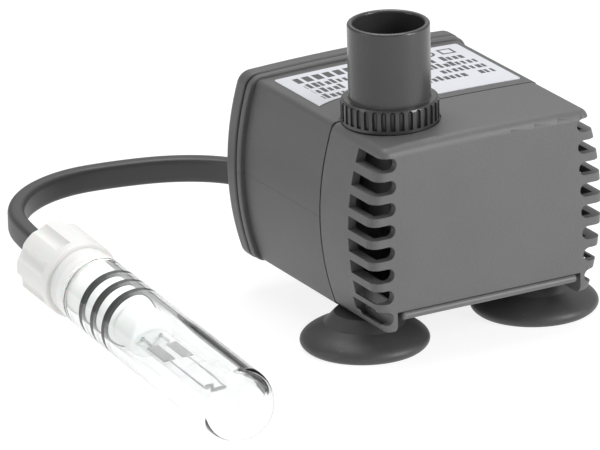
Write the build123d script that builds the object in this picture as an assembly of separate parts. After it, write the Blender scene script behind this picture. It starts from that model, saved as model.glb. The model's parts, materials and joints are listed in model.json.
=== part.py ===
"""Submersible fountain pump with a plug-in lamp on a short lead.

Millimetres, +Z up. The intake cover faces -Y, the outlet nozzle points up, and the origin is
the middle of the pump's footprint, on the surface that its suction cups stand on.
Depths are measured back from the intake cover's front face.
"""
from build123d import *
import math
import os

os.makedirs("parts", exist_ok=True)

# ---------------------------------------------------------------- driving dimensions
# body: a square section with bowed sides, shared by the intake cover and the motor housing
BODY_HALF_MID = 26.0        # half width of the crowned sides at mid height
BODY_HALF_END = 22.65       # half width at the top and bottom corners
BODY_LOW = 7.1
BODY_HIGH = 44.6
TOP_CROWN = 0.4
COVER_CORNER = 2.1
HOUSING_CORNER = 1.3
COVER_WALL = 1.7
WALL = 2.4
AXIS_Z = (BODY_LOW + BODY_HIGH) / 2

# places along the depth
LIP_PROUD = 0.5             # how far the flow slide's lip stands in front of the cover
COVER_DEPTH = 19.6
SEAM_GAP = 0.45
HOUSING_FRONT = COVER_DEPTH + SEAM_GAP
FLANGE_FRONT = 49.9
FLANGE_REAR = 51.2
REAR_COVER_FRONT = 52.0
REAR_COVER_REAR = 56.3
GLAND_REAR = 58.5
FRONT_Y = -(GLAND_REAR - LIP_PROUD) / 2

# housing flange and rear cover
FLANGE_HALF_MID = 27.1
FLANGE_HALF_END = 23.7
FLANGE_LOW = 6.8
FLANGE_HIGH = 45.15
FLANGE_CROWN = 0.6
FLANGE_CORNER = 3.2
SEAL_INSET = 1.2            # how far the rear seal lies inside the flange's outline

# outlet nozzle
NOZZLE_X = -12.6
NOZZLE_DEPTH = 15.3
NOZZLE_TOP = 64.5
NOZZLE_RADIUS = 8.0
NOZZLE_BORE = 6.9
COLLAR_RADIUS = 9.5
COLLAR_SEAT = 44.55         # flat spot under the collar
SEAT_RADIUS = 9.8
COLLAR_LOW = 44.65
COLLAR_HIGH = 49.5
FLUTES = 34
FLUTE_RADIUS = 0.55

# slots of the intake cover
SLOTS = 8
SLOT_PITCH = 4.43
SLOT_HEIGHT = 2.75
SLOT_TOP_Z = 41.55
SLOT_END_TOP = 20.0         # half spacing of the slots' round ends in the top row
SLOT_END_LOW = 21.3         # and in the bottom row
SLOT_SIDE_DEPTH = 8.8
LEG_INNER = 20.4            # half width of the recess under the cover, between its legs
LEG_WALL = 1.2
RECESS_TOP = 11.5
CAVITY_LOW = RECESS_TOP + 1.5

# flow slide
WINDOW_PLACES = (-12.0, -4.0, 4.0, 12.0)
SLIDE_LOW = 9.8
SLIDE_HIGH = RECESS_TOP - 0.15

# lead glands
GLAND_X = 13.7
GLAND_Z = 17.7
GLAND_RADIUS = 4.2
GLAND_FLANGE = 5.0
SUPPLY_BORE = 2.6

# suction cups
CUP_RADIUS = 12.66
CUP_X = 19.06
CUP_DEPTH = 15.5
REAR_CUP_DEPTH = 41.0
REAR_BOSS_HEIGHT = 4.2
CUP_SHOULDER_Z = 6.9
STUD_RADIUS = 2.1
BOSS_RADIUS = 4.0

# pump chamber and outlet stub
VOLUTE_X = -0.8
VOLUTE_Z = AXIS_Z + 0.9
VOLUTE_BORE = 12.0
VOLUTE_WALL = 1.5
VOLUTE_FRONT = 9.3
VOLUTE_SEAL_SECTION = 0.5
FRONT_BUSH_RADIUS = 2.2
STUB_BORE = 4.3
STUB_RADIUS = 5.8
STUB_TOP = 50.4
STUB_SEAL_Z = 47.8
STUB_SEAL_SECTION = 0.5
STUB_SEAL_RADIUS = STUB_RADIUS - STUB_SEAL_SECTION

# motor
WELL_BORE = 7.6
WELL_RADIUS = 8.8
WELL_REAR = 46.4
REAR_BUSH_FRONT = 43.0
REAR_BUSH_RADIUS = 3.0
STACK_FRONT = 27.0
STACK_REAR = 42.0
CORE_LEG = (14.2, 18.6)

# rotor and its fixed shaft
SHAFT_RADIUS = 1.25
SHAFT_FRONT = VOLUTE_FRONT - 1.1
SHAFT_REAR = WELL_REAR - 1.5
RUNNING = 0.05
ROTOR_FRONT = 23.4
ROTOR_REAR = 42.6
ROTOR_RADIUS = 7.0
HUB_RADIUS = 3.2
IMPELLER_BACK = 19.4
IMPELLER_RADIUS = 10.6
BLADES = 6

# rating label
LABEL_X = (-20.3, 20.9)
LABEL_DEPTHS = (22.5, 47.6)
LABEL_CLEAR_RADIUS = 16.0
LABEL_CORNER = 0.6
LABEL_THICKNESS = 0.12

# lamp, along its own axis from the dome's centre back to the cap
LAMP_RADIUS = 7.3
LAMP_WALL = 1.5
LENS_BORE = LAMP_RADIUS - LAMP_WALL
LAMP_TILT = 6.0
LAMP_HEADING = -88.3
LAMP_DOME = (-64.13, -15.15)    # across, and depth behind the cover's front face
LENS_RIM = 53.7
RING_PLACES = (38.8, 43.15, 47.5)
PLUG_RADIUS = 5.4
PLUG_FRONT = 36.6
SEAL_SECTION = 0.9
SEAL_RADIUS = LENS_BORE - 0.05 - SEAL_SECTION
CAP_FRONT = 59.0
CAP_REAR = 71.5
SOCKET_FRONT = 30.6
BULB_RADIUS = 4.3
BULB_WALL = 0.8
BULB_CENTRE = 5.0
PINCH_FRONT = 16.5
PINCH_WIDTH = 7.6
PINCH_THICKNESS = 2.9
PIN_SPACING = 4.0
PIN_SPAN = (26.8, 35.6)
SUPPORT_SPAN = (7.4, 20.4)

# lamp lead
LEAD_WIDTH = 5.2
LEAD_THICKNESS = 3.4


# ---------------------------------------------------------------- helpers
def at(x, depth, z):
    """A point in the part's frame from its depth behind the front face."""
    return (x, FRONT_Y + depth, z)


def outline(depth, half_mid, half_end, low, high, crown, corner):
    """The pump's cross section: a square with bowed sides, a slightly bowed top and round corners."""
    middle = (low + high) / 2
    bottom = Line(at(-half_end, depth, low), at(half_end, depth, low))
    right = ThreePointArc(at(half_end, depth, low), at(half_mid, depth, middle), at(half_end, depth, high))
    top = ThreePointArc(at(half_end, depth, high), at(0, depth, high + crown), at(-half_end, depth, high))
    left = ThreePointArc(at(-half_end, depth, high), at(-half_mid, depth, middle), at(-half_end, depth, low))
    face = Face(Wire([bottom, right, top, left]))
    return face.fillet_2d(corner, face.vertices())


def body_outline(depth, corner, inset=0.0, low=BODY_LOW, high=BODY_HIGH):
    """The body's cross section drawn in by a wall's thickness at its sides."""
    return outline(depth, BODY_HALF_MID - inset, BODY_HALF_END - inset, low, high, TOP_CROWN, corner)


def prism(face, length):
    return extrude(face, amount=length, dir=(0, 1, 0))


def block(x_range, depth_range, z_range):
    """A box between two corners, with its depths measured from the front face."""
    size = [high - low for low, high in (x_range, depth_range, z_range)]
    middle = [(low + high) / 2 for low, high in (x_range, depth_range, z_range)]
    return Pos(*at(*middle)) * Box(*size)


def rod_y(x, z, front, rear, radius):
    """A cylinder along the depth."""
    return Pos(*at(x, (front + rear) / 2, z)) * Rot(90, 0, 0) * Cylinder(radius, rear - front)


def rod_z(x, depth, low, high, radius):
    """An upright cylinder."""
    return Pos(*at(x, depth, (low + high) / 2)) * Cylinder(radius, high - low)


def turned(profile):
    """A solid turned from radius and height points about the Z axis."""
    return revolve(make_face(Plane.XZ * Polyline(*profile, close=True)), Axis.Z)


def ring_y(x, z, depth, ring_radius, section_radius):
    """A round-section ring about an axis along the depth."""
    return Pos(*at(x, depth, z)) * Rot(90, 0, 0) * Torus(ring_radius, section_radius)


def save(solid, name):
    export_step(solid, "parts/" + name + ".step")


# ---------------------------------------------------------------- intake cover
def intake_cover():
    """The slotted front shell, open at the back, which slides off the pump forwards."""
    outer = prism(body_outline(0, COVER_CORNER), COVER_DEPTH)
    front_loop = outer.faces().sort_by(Axis.Y)[0].edges()
    outer = fillet(front_loop, 2.0)
    cavity_top = BODY_HIGH - COVER_WALL
    inner = prism(body_outline(COVER_WALL, COVER_CORNER, COVER_WALL, CAVITY_LOW, cavity_top), COVER_DEPTH)
    # hollows in the legs, which the lowest slots open into
    leg_low = BODY_LOW + LEG_WALL
    legs = prism(body_outline(COVER_WALL, 1.0, COVER_WALL, leg_low, CAVITY_LOW + 3), SLOT_SIDE_DEPTH)
    legs -= block((-LEG_INNER - LEG_WALL, LEG_INNER + LEG_WALL), (-1, COVER_DEPTH), (0, CAVITY_LOW + 3))
    shell = outer - inner - legs
    shell -= block((-LEG_INNER, LEG_INNER), (-1, COVER_DEPTH + 1), (0, RECESS_TOP))
    for side in (-1, 1):
        boss = rod_z(side * CUP_X, CUP_DEPTH, CUP_SHOULDER_Z + 0.2, RECESS_TOP + 0.5, BOSS_RADIUS)
        shell += boss & outer
    for side in (-1, 1):
        shell -= rod_z(side * CUP_X, CUP_DEPTH, 0, RECESS_TOP - 0.5, STUD_RADIUS)
    for row in range(SLOTS):
        z = SLOT_TOP_Z - row * SLOT_PITCH
        end = SLOT_END_TOP + (SLOT_END_LOW - SLOT_END_TOP) * row / (SLOTS - 1)
        for side in (-1, 1):
            inner_x = side * (end + SLOT_HEIGHT / 2)
            outer_x = side * 30.0
            x_range = (min(inner_x, outer_x), max(inner_x, outer_x))
            half = SLOT_HEIGHT / 2
            shell -= block(x_range, (-1, SLOT_SIDE_DEPTH), (z - half, z + half))
            shell -= rod_y(inner_x, z, -1, SLOT_SIDE_DEPTH, half)
    # notch and flat seat that let the cover pass the outlet stub and the collar as it slides off
    for half, low in ((STUB_RADIUS + 0.5, cavity_top - 1), (SEAT_RADIUS, COLLAR_SEAT)):
        shell -= rod_z(NOZZLE_X, NOZZLE_DEPTH, low, 50, half)
        shell -= block((NOZZLE_X - half, NOZZLE_X + half), (NOZZLE_DEPTH, COVER_DEPTH + 1), (low, 50))
    # windows in the floor that the flow slide opens and shuts
    for x in WINDOW_PLACES:
        shell -= block((x - 2.5, x + 2.5), (4.4, 8.2), (RECESS_TOP - 1, CAVITY_LOW + 1))
    # rails that carry the flow slide
    for side in (-1, 1):
        inner_x = side * (LEG_INNER - 1.6)
        outer_x = side * (LEG_INNER + 0.5)
        x_range = (min(inner_x, outer_x), max(inner_x, outer_x))
        shell += block(x_range, (3.2, 10.4), (8.6, SLIDE_LOW - 0.15))
    return shell


def flow_slide():
    """The plate under the intake cover, with a round thumb lip along the front edge."""
    lip_radius = (SLIDE_HIGH - SLIDE_LOW) / 2
    lip_z = (SLIDE_HIGH + SLIDE_LOW) / 2
    half = LEG_INNER - 1.0
    lip = Pos(*at(0, lip_radius - LIP_PROUD, lip_z)) * Rot(0, 90, 0) * Cylinder(lip_radius, 2 * half)
    lip = fillet(lip.faces().filter_by(Axis.X).edges(), lip_radius * 0.6)
    plate = block((-half + 0.2, half - 0.2), (lip_radius - LIP_PROUD, 10.2), (SLIDE_LOW + 0.1, SLIDE_HIGH))
    body = lip + plate
    for x in WINDOW_PLACES[:-1]:
        middle = x + 4.0
        body -= block((middle - 1.2, middle + 1.2), (4.6, 8.0), (SLIDE_LOW - 1, SLIDE_LOW + 0.5))
    return body


# ---------------------------------------------------------------- motor housing
def flange_outline(depth, grow=0.0):
    """The outline that the housing's flange, the rear seal and the rear cover follow."""
    return outline(depth, FLANGE_HALF_MID + grow, FLANGE_HALF_END + grow, FLANGE_LOW - grow,
                   FLANGE_HIGH + grow, FLANGE_CROWN, FLANGE_CORNER)


def pocket_outline(depth):
    """The inside of the housing, where the motor is potted."""
    return body_outline(depth, HOUSING_CORNER, WALL, BODY_LOW + WALL, BODY_HIGH - WALL)


def motor_housing():
    """The potted motor's shell, with the rotor well, the volute ring and the outlet stub in one moulding."""
    outer = prism(body_outline(HOUSING_FRONT, HOUSING_CORNER), FLANGE_FRONT - HOUSING_FRONT)
    flange = prism(flange_outline(FLANGE_FRONT), FLANGE_REAR - FLANGE_FRONT)
    flange = fillet(flange.faces().sort_by(Axis.Y)[0].edges(), 0.35)
    outer += flange
    housing = outer - prism(pocket_outline(HOUSING_FRONT + WALL), FLANGE_REAR)
    # locating ring that the intake cover slides on to
    fit = 0.15
    ring_low = CAVITY_LOW + fit
    ring_high = BODY_HIGH - COVER_WALL - fit
    inset = COVER_WALL + fit
    ring_face = body_outline(HOUSING_FRONT - 2.4, COVER_CORNER, inset, ring_low, ring_high)
    hole_face = body_outline(HOUSING_FRONT - 3, 1.0, inset + 1.2, ring_low + 1.2, ring_high - 1.2)
    housing += prism(ring_face, 2.6) - prism(hole_face, 3)
    # volute ring and outlet stub
    volute_outer = VOLUTE_BORE + VOLUTE_WALL
    housing += rod_y(VOLUTE_X, VOLUTE_Z, VOLUTE_FRONT, HOUSING_FRONT + 0.2, volute_outer)
    housing += rod_z(NOZZLE_X, NOZZLE_DEPTH, VOLUTE_Z, STUB_TOP, STUB_RADIUS)
    housing -= rod_y(VOLUTE_X, VOLUTE_Z, VOLUTE_FRONT - 1, HOUSING_FRONT, VOLUTE_BORE)
    housing -= rod_z(NOZZLE_X, NOZZLE_DEPTH, VOLUTE_Z + 2, STUB_TOP + 1, STUB_BORE)
    # rotor well
    housing += rod_y(0, AXIS_Z, HOUSING_FRONT + WALL - 0.2, WELL_REAR, WELL_RADIUS)
    housing -= rod_y(0, AXIS_Z, HOUSING_FRONT - 0.5, WELL_REAR - 1.4, WELL_BORE)
    housing += rod_y(0, AXIS_Z, REAR_BUSH_FRONT, WELL_REAR - 1.2, REAR_BUSH_RADIUS + 1.2)
    housing -= rod_y(0, AXIS_Z, REAR_BUSH_FRONT - 1, WELL_REAR - 1.4, REAR_BUSH_RADIUS)
    # flat seat under the collar, and a groove for the nozzle's seal
    seat = rod_z(NOZZLE_X, NOZZLE_DEPTH, COLLAR_SEAT, 60, SEAT_RADIUS)
    housing -= seat - rod_z(NOZZLE_X, NOZZLE_DEPTH, 40, 70, STUB_RADIUS)
    groove = rod_z(NOZZLE_X, NOZZLE_DEPTH, STUB_SEAL_Z - 0.55, STUB_SEAL_Z + 0.55, STUB_RADIUS + 1)
    housing -= groove - rod_z(NOZZLE_X, NOZZLE_DEPTH, 40, 60, STUB_SEAL_RADIUS - STUB_SEAL_SECTION)
    # socket for the rear suction cup
    housing += rod_z(0, REAR_CUP_DEPTH, BODY_LOW, BODY_LOW + REAR_BOSS_HEIGHT, BOSS_RADIUS)
    housing -= rod_z(0, REAR_CUP_DEPTH, 0, BODY_LOW + REAR_BOSS_HEIGHT - 0.9, STUD_RADIUS)
    return housing


def rear_seal():
    """The flat gasket in the groove between the housing's flange and the rear cover."""
    ring = prism(flange_outline(FLANGE_REAR, -SEAL_INSET), REAR_COVER_FRONT - FLANGE_REAR)
    return ring - prism(pocket_outline(FLANGE_REAR - 1), 3)


def rear_cover():
    """The rounded closing plate, with a seat for each lead's gland."""
    plate = prism(flange_outline(REAR_COVER_FRONT, 0.1), REAR_COVER_REAR - REAR_COVER_FRONT)
    plate = fillet(plate.faces().sort_by(Axis.Y)[-1].edges(), 2.0)
    plate = fillet(plate.faces().sort_by(Axis.Y)[0].edges(), 0.4)
    for side in (-1, 1):
        plate -= rod_y(side * GLAND_X, GLAND_Z, REAR_COVER_FRONT - 1, REAR_COVER_REAR + 1, GLAND_RADIUS)
    return plate


def gland_body():
    """A round grommet with a flange outside the rear cover, centred on the axis of a lead."""
    body = rod_y(0, GLAND_Z, REAR_COVER_FRONT, REAR_COVER_REAR, GLAND_RADIUS)
    flange = rod_y(0, GLAND_Z, REAR_COVER_REAR, GLAND_REAR, GLAND_FLANGE)
    flange = fillet(flange.faces().sort_by(Axis.Y)[-1].edges(), 0.6)
    return body + flange


def lamp_lead_gland():
    return Pos(-GLAND_X, 0, 0) * gland_body()


def supply_lead_gland():
    return Pos(GLAND_X, 0, 0) * (gland_body() - rod_y(0, GLAND_Z, 40, 60, SUPPLY_BORE))


# ---------------------------------------------------------------- motor
def stator_core():
    """The laminated C core: two arms that hold the rotor well between pole faces, joined by one leg."""
    stack = (STACK_FRONT, STACK_REAR)
    core = block((-8.0, CORE_LEG[1]), stack, (AXIS_Z - 14, AXIS_Z + 14))
    core -= block((9.6, CORE_LEG[0]), stack, (AXIS_Z - 9, AXIS_Z + 9))
    core -= block((-9, 9.7), stack, (AXIS_Z - 4.5, AXIS_Z + 4.5))
    core -= rod_y(0, AXIS_Z, STACK_FRONT - 1, STACK_REAR + 1, WELL_RADIUS + 0.25)
    for middle in (-3.0, 13.0):
        for side in (-1, 1):
            core -= rod_y(middle, AXIS_Z + side * 11.6, STACK_FRONT - 1, STACK_REAR + 1, 1.0)
    return core


def spool_block(grow, half_height):
    """A block round the core's leg, grown on every side but the height."""
    x_range = (CORE_LEG[0] - grow, CORE_LEG[1] + grow)
    depths = (STACK_FRONT - grow, STACK_REAR + grow)
    return block(x_range, depths, (AXIS_Z - half_height, AXIS_Z + half_height))


def coil_bobbin():
    tube = spool_block(0.9, 8.8)
    ends = spool_block(3.4, 8.8) - spool_block(5, 8.0)
    return tube + ends - spool_block(0.1, 12)


def coil_winding():
    coil = spool_block(3.1, 7.9)
    coil = fillet(coil.edges().filter_by(Axis.Z), 0.8)
    return coil - spool_block(0.95, 12)


def potting_resin(inner_pieces):
    """The cast resin that fills the housing round the motor's parts."""
    resin = prism(pocket_outline(HOUSING_FRONT + WALL), FLANGE_REAR - HOUSING_FRONT - WALL - 0.6)
    resin -= rod_y(0, AXIS_Z, HOUSING_FRONT, WELL_REAR, WELL_RADIUS)
    resin -= rod_z(0, REAR_CUP_DEPTH, 0, BODY_LOW + REAR_BOSS_HEIGHT, BOSS_RADIUS)
    for piece in inner_pieces:
        resin -= piece
    return resin


# ---------------------------------------------------------------- rotor and its bearings
def rotor_shaft():
    return rod_y(0, AXIS_Z, SHAFT_FRONT, SHAFT_REAR, SHAFT_RADIUS)


def bush(front, rear, radius):
    """A rubber bush that holds one end of the fixed shaft."""
    return rod_y(0, AXIS_Z, front, rear, radius) - rod_y(0, AXIS_Z, front - 1, rear + 1, SHAFT_RADIUS)


def rotor_magnet():
    magnet = rod_y(0, AXIS_Z, ROTOR_FRONT, ROTOR_REAR, ROTOR_RADIUS)
    magnet = fillet(magnet.faces().filter_by(Axis.Y).edges(), 0.4)
    return magnet - rod_y(0, AXIS_Z, 0, 60, HUB_RADIUS)


def rotor_sleeve():
    """The moulded sleeve through the magnet, which runs on the fixed shaft."""
    sleeve = rod_y(0, AXIS_Z, ROTOR_FRONT, ROTOR_REAR, HUB_RADIUS)
    return sleeve - rod_y(0, AXIS_Z, 0, 60, SHAFT_RADIUS + RUNNING)


def impeller():
    """Six curved blades on a back plate, and a neck that reaches back to the magnet."""
    wheel = rod_y(0, AXIS_Z, IMPELLER_BACK - 1.2, IMPELLER_BACK, IMPELLER_RADIUS)
    wheel += rod_y(0, AXIS_Z, IMPELLER_BACK, ROTOR_FRONT, 5.0)
    wheel += rod_y(0, AXIS_Z, 12.4, IMPELLER_BACK, HUB_RADIUS)
    blade_face = make_face(Polyline((2.2, -0.5), (6.0, -1.5), (9.4, -3.9), (9.1, -4.8), (5.8, -2.7),
                                    (2.2, -1.6), close=True))
    blade = extrude(blade_face, amount=6.0)
    for number in range(BLADES):
        turned_blade = Rot(0, 0, number * 360 / BLADES) * blade
        wheel += Pos(*at(0, IMPELLER_BACK - 1.0, AXIS_Z)) * Rot(90, 0, 0) * turned_blade
    return wheel - rod_y(0, AXIS_Z, 0, 60, SHAFT_RADIUS + RUNNING)


# ---------------------------------------------------------------- pump chamber
def volute_cover():
    """The disc that shuts the pump chamber, with the intake eye and the front bush's spider."""
    outer_radius = VOLUTE_BORE + VOLUTE_WALL
    disc = rod_y(VOLUTE_X, VOLUTE_Z, VOLUTE_FRONT - 1.5, VOLUTE_FRONT, outer_radius)
    disc = fillet(disc.faces().sort_by(Axis.Y)[0].edges(), 0.5)
    disc += rod_y(VOLUTE_X, VOLUTE_Z, VOLUTE_FRONT, VOLUTE_FRONT + 2.2, VOLUTE_BORE - 0.1)
    groove = rod_y(VOLUTE_X, VOLUTE_Z, VOLUTE_FRONT + 0.6, VOLUTE_FRONT + 1.7, VOLUTE_BORE + 1)
    disc -= groove - rod_y(VOLUTE_X, VOLUTE_Z, 0, 20, VOLUTE_BORE - 0.05 - 2 * VOLUTE_SEAL_SECTION)
    disc -= rod_y(0, AXIS_Z, 0, 20, 6.2)
    for number in range(3):
        spoke = Pos(*at(0, VOLUTE_FRONT - 0.3, AXIS_Z)) * Rot(0, 90 + 120 * number, 0) * Pos(3.9, 0, 0)
        disc += spoke * Box(5.4, 2.0, 1.2)
    disc += rod_y(0, AXIS_Z, VOLUTE_FRONT - 1.3, VOLUTE_FRONT + 0.7, FRONT_BUSH_RADIUS + 0.8)
    return disc - rod_y(0, AXIS_Z, 0, 20, FRONT_BUSH_RADIUS)


def volute_seal():
    """The O-ring on the chamber cover's spigot."""
    ring_radius = VOLUTE_BORE - 0.05 - VOLUTE_SEAL_SECTION
    return ring_y(VOLUTE_X, VOLUTE_Z, VOLUTE_FRONT + 1.15, ring_radius, VOLUTE_SEAL_SECTION)


# ---------------------------------------------------------------- outlet nozzle
def outlet_nozzle():
    """The push-on hose nozzle, with a knurled collar to grip it by."""
    profile = (
        (STUB_RADIUS + RUNNING, COLLAR_LOW), (COLLAR_RADIUS - 0.25, COLLAR_LOW),
        (COLLAR_RADIUS, COLLAR_LOW + 0.25), (COLLAR_RADIUS, COLLAR_HIGH - 0.5),
        (COLLAR_RADIUS - 0.15, COLLAR_HIGH - 0.15), (COLLAR_RADIUS - 0.5, COLLAR_HIGH),
        (NOZZLE_RADIUS + 0.2, COLLAR_HIGH + 0.1), (NOZZLE_RADIUS, COLLAR_HIGH + 0.3),
        (NOZZLE_RADIUS, NOZZLE_TOP), (NOZZLE_BORE, NOZZLE_TOP),
        (NOZZLE_BORE, STUB_TOP + 0.9), (STUB_RADIUS + RUNNING, STUB_TOP + 0.4),
    )
    nozzle = turned(profile)
    rims = nozzle.edges().filter_by(GeomType.CIRCLE).group_by(Axis.Z)[-1]
    nozzle = fillet(rims, 0.45)
    flute_low = COLLAR_LOW + 0.85
    flute_high = COLLAR_HIGH - 0.75
    flute = Pos(0, 0, (flute_low + flute_high) / 2) * Cylinder(FLUTE_RADIUS, flute_high - flute_low)
    flute += Pos(0, 0, flute_high) * Sphere(FLUTE_RADIUS)
    flute = Pos(COLLAR_RADIUS - 0.2, 0, 0) * flute
    flutes = [Rot(0, 0, number * 360 / FLUTES) * flute for number in range(FLUTES)]
    return Pos(*at(NOZZLE_X, NOZZLE_DEPTH, 0)) * (nozzle - flutes)


def nozzle_seal():
    """The O-ring in the outlet stub's groove, which the nozzle pushes over."""
    return Pos(*at(NOZZLE_X, NOZZLE_DEPTH, STUB_SEAL_Z)) * Torus(STUB_SEAL_RADIUS, STUB_SEAL_SECTION)


# ---------------------------------------------------------------- label and suction cups
def rating_label():
    """The sticker on the housing's top, cut away round the nozzle's collar."""
    sheet = block(LABEL_X, LABEL_DEPTHS, (40, 50))
    sheet = fillet(sheet.edges().filter_by(Axis.Z), LABEL_CORNER)
    sheet -= rod_z(NOZZLE_X, NOZZLE_DEPTH, 30, 60, LABEL_CLEAR_RADIUS)
    length = FLANGE_FRONT - HOUSING_FRONT
    under = prism(body_outline(HOUSING_FRONT, HOUSING_CORNER), length)
    over = prism(body_outline(HOUSING_FRONT, HOUSING_CORNER, high=BODY_HIGH + LABEL_THICKNESS), length)
    return (sheet & over) - under


def suction_cup(x, depth, shoulder_z, stud_top):
    """A bell-shaped rubber cup with a flat sealing lip, a shoulder, and a stud that presses into a boss."""
    rim = Spline((CUP_RADIUS - 0.8, 0), (CUP_RADIUS, 1.3), (CUP_RADIUS - 1.3, 2.9), (7.9, 4.7))
    side = Polyline((7.9, 4.7), (6.2, shoulder_z - 0.3), (5.9, shoulder_z), (STUD_RADIUS, shoulder_z),
                    (STUD_RADIUS, stud_top), (0, stud_top), (0, 2.6))
    hollow = Spline((0, 2.6), (5.5, 2.25), (CUP_RADIUS - 2.1, 0))
    lip = Line((CUP_RADIUS - 2.1, 0), (CUP_RADIUS - 0.8, 0))
    face = make_face(Plane.XZ * (rim + side + hollow + lip))
    return Pos(*at(x, depth, 0)) * revolve(face, Axis.Z)


# ---------------------------------------------------------------- lamp
def lamp_direction():
    """Unit vector from the lamp's cap to its dome."""
    tilt = math.radians(LAMP_TILT)
    heading = math.radians(LAMP_HEADING)
    level = math.cos(tilt)
    return Vector(level * math.cos(heading), level * math.sin(heading), -math.sin(tilt))


LAMP_AXIS = lamp_direction()
LAMP_FRAME = Plane(origin=at(LAMP_DOME[0], LAMP_DOME[1], LAMP_RADIUS),
                   x_dir=LAMP_AXIS.cross(Vector(0, 0, 1)).normalized(), z_dir=-LAMP_AXIS)


def placed(solid):
    """Move a solid made about the lamp's own axis into the part's frame."""
    return LAMP_FRAME * solid


def lamp_rod(front, rear, radius):
    return Pos(0, 0, (front + rear) / 2) * Cylinder(radius, rear - front)


def lamp_lens():
    """The clear tube with a round end, which pulls off the plug over its three seals."""
    tube = lamp_rod(0, LENS_RIM, LAMP_RADIUS) + Sphere(LAMP_RADIUS)
    tube -= lamp_rod(0, LENS_RIM + 1, LENS_BORE) + Sphere(LENS_BORE)
    return fillet(tube.edges().filter_by(GeomType.CIRCLE).group_by(Axis.Z)[-1], 0.3)


def lamp_plug():
    """The white plug: a body with three seal grooves, a rounded nose and a stop flange."""
    body = lamp_rod(PLUG_FRONT, CAP_FRONT, PLUG_RADIUS)
    body = fillet(body.faces().sort_by(Axis.Z)[0].edges(), 1.8)
    flange = lamp_rod(LENS_RIM + 0.15, CAP_FRONT - 2.6, LAMP_RADIUS - 0.15)
    flange = fillet(flange.edges().filter_by(GeomType.CIRCLE), 0.3)
    body += flange
    for place in RING_PLACES:
        groove = Pos(0, 0, place) * (Cylinder(PLUG_RADIUS + 1, 2 * SEAL_SECTION + 0.1)
                                     - Cylinder(SEAL_RADIUS - SEAL_SECTION, 3))
        body -= groove
    for side in (-1, 1):
        body -= Pos(side * 3.6, 0, PLUG_FRONT) * Box(1.5, 2.4, 4.0)
    return body


def lamp_seal(place):
    return Pos(0, 0, place) * Torus(SEAL_RADIUS, SEAL_SECTION)


def lamp_cap():
    """The fluted cap that grips the lead, with a collar in front."""
    collar = lamp_rod(CAP_FRONT - 2.6, CAP_FRONT, LAMP_RADIUS - 0.35)
    bore = lamp_rod(0, CAP_FRONT, PLUG_RADIUS)
    grip = lamp_rod(CAP_FRONT, CAP_REAR, 7.9)
    ends = grip.faces().filter_by(Axis.Z).edges()
    grip = chamfer(ends.group_by(Axis.Z)[-1], 1.0)
    grip = fillet(grip.faces().sort_by(Axis.Z)[0].edges(), 0.5)
    for number in range(8):
        flute = Pos(9.0, 0, CAP_FRONT + 9.4) * Cylinder(2.0, 15.0)
        grip -= Rot(0, 0, number * 45 + 22.5) * flute
    entry = lamp_rod(CAP_REAR - 2.4, CAP_REAR + 1, 3.1)
    return collar - bore + grip - entry


def lead_grommet():
    """The soft ring between the cap and the lead."""
    return lamp_rod(CAP_REAR - 2.4, CAP_REAR, 3.1)


def lamp_socket():
    """The heat-proof socket that the lamp's two pins push into."""
    socket = lamp_rod(SOCKET_FRONT, PLUG_FRONT, 4.7)
    socket = fillet(socket.faces().sort_by(Axis.Z)[0].edges(), 0.8)
    for side in (-1, 1):
        socket -= Pos(side * PIN_SPACING / 2, 0, PLUG_FRONT - 2.6) * Cylinder(1.05, 5.2)
        socket -= Pos(side * PIN_SPACING / 2, 0, SOCKET_FRONT) * Cylinder(0.45, 4.0)
    return socket


def socket_contact(side):
    """One sprung contact tube in the socket."""
    tube = Cylinder(1.0, 5.0) - Cylinder(0.4, 5.0)
    return Pos(side * PIN_SPACING / 2, 0, PLUG_FRONT - 2.6) * tube


def bulb_envelope():
    """The quartz capsule: a hollow bulb drawn into a flat pinch that holds foils and pins."""
    rear = PINCH_FRONT - 3.0
    shape = Pos(0, 0, BULB_CENTRE) * Sphere(BULB_RADIUS) + lamp_rod(BULB_CENTRE, rear, BULB_RADIUS)
    shape = fillet(shape.edges().group_by(Axis.Z)[-1], 2.0)
    bore = BULB_RADIUS - BULB_WALL
    hollow = Pos(0, 0, BULB_CENTRE) * Sphere(bore) + lamp_rod(BULB_CENTRE, rear - 2 * BULB_WALL, bore)
    pinch = Pos(0, 0, (rear - 1 + SOCKET_FRONT) / 2) * Box(PINCH_WIDTH, PINCH_THICKNESS, SOCKET_FRONT - rear + 1)
    pinch = fillet(pinch.edges().filter_by(Axis.Z), 0.9)
    glass = shape + pinch - hollow
    for side in (-1, 1):
        glass -= foil_solid(side)
        glass -= pin_solid(side)
        glass -= support_solid(side)
    return glass


def foil_solid(side):
    return Pos(side * PIN_SPACING / 2, 0, 23.6) * Box(2.4, 0.24, 6.4)


def pin_solid(side):
    return Pos(side * PIN_SPACING / 2, 0, 0) * lamp_rod(*PIN_SPAN, 0.35)


def support_solid(side):
    """The wire from a foil to one end of the filament."""
    wire = lamp_rod(*SUPPORT_SPAN, 0.2) + Pos(0, 0, SUPPORT_SPAN[0]) * Sphere(0.2)
    return Pos(side * PIN_SPACING / 2, 0, 0) * wire


def filament():
    """The coiled filament across the top of the two support wires, as a short rod."""
    return Pos(0, 0, SUPPORT_SPAN[0]) * Rot(0, 90, 0) * Cylinder(0.5, PIN_SPACING - 0.5)


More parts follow.
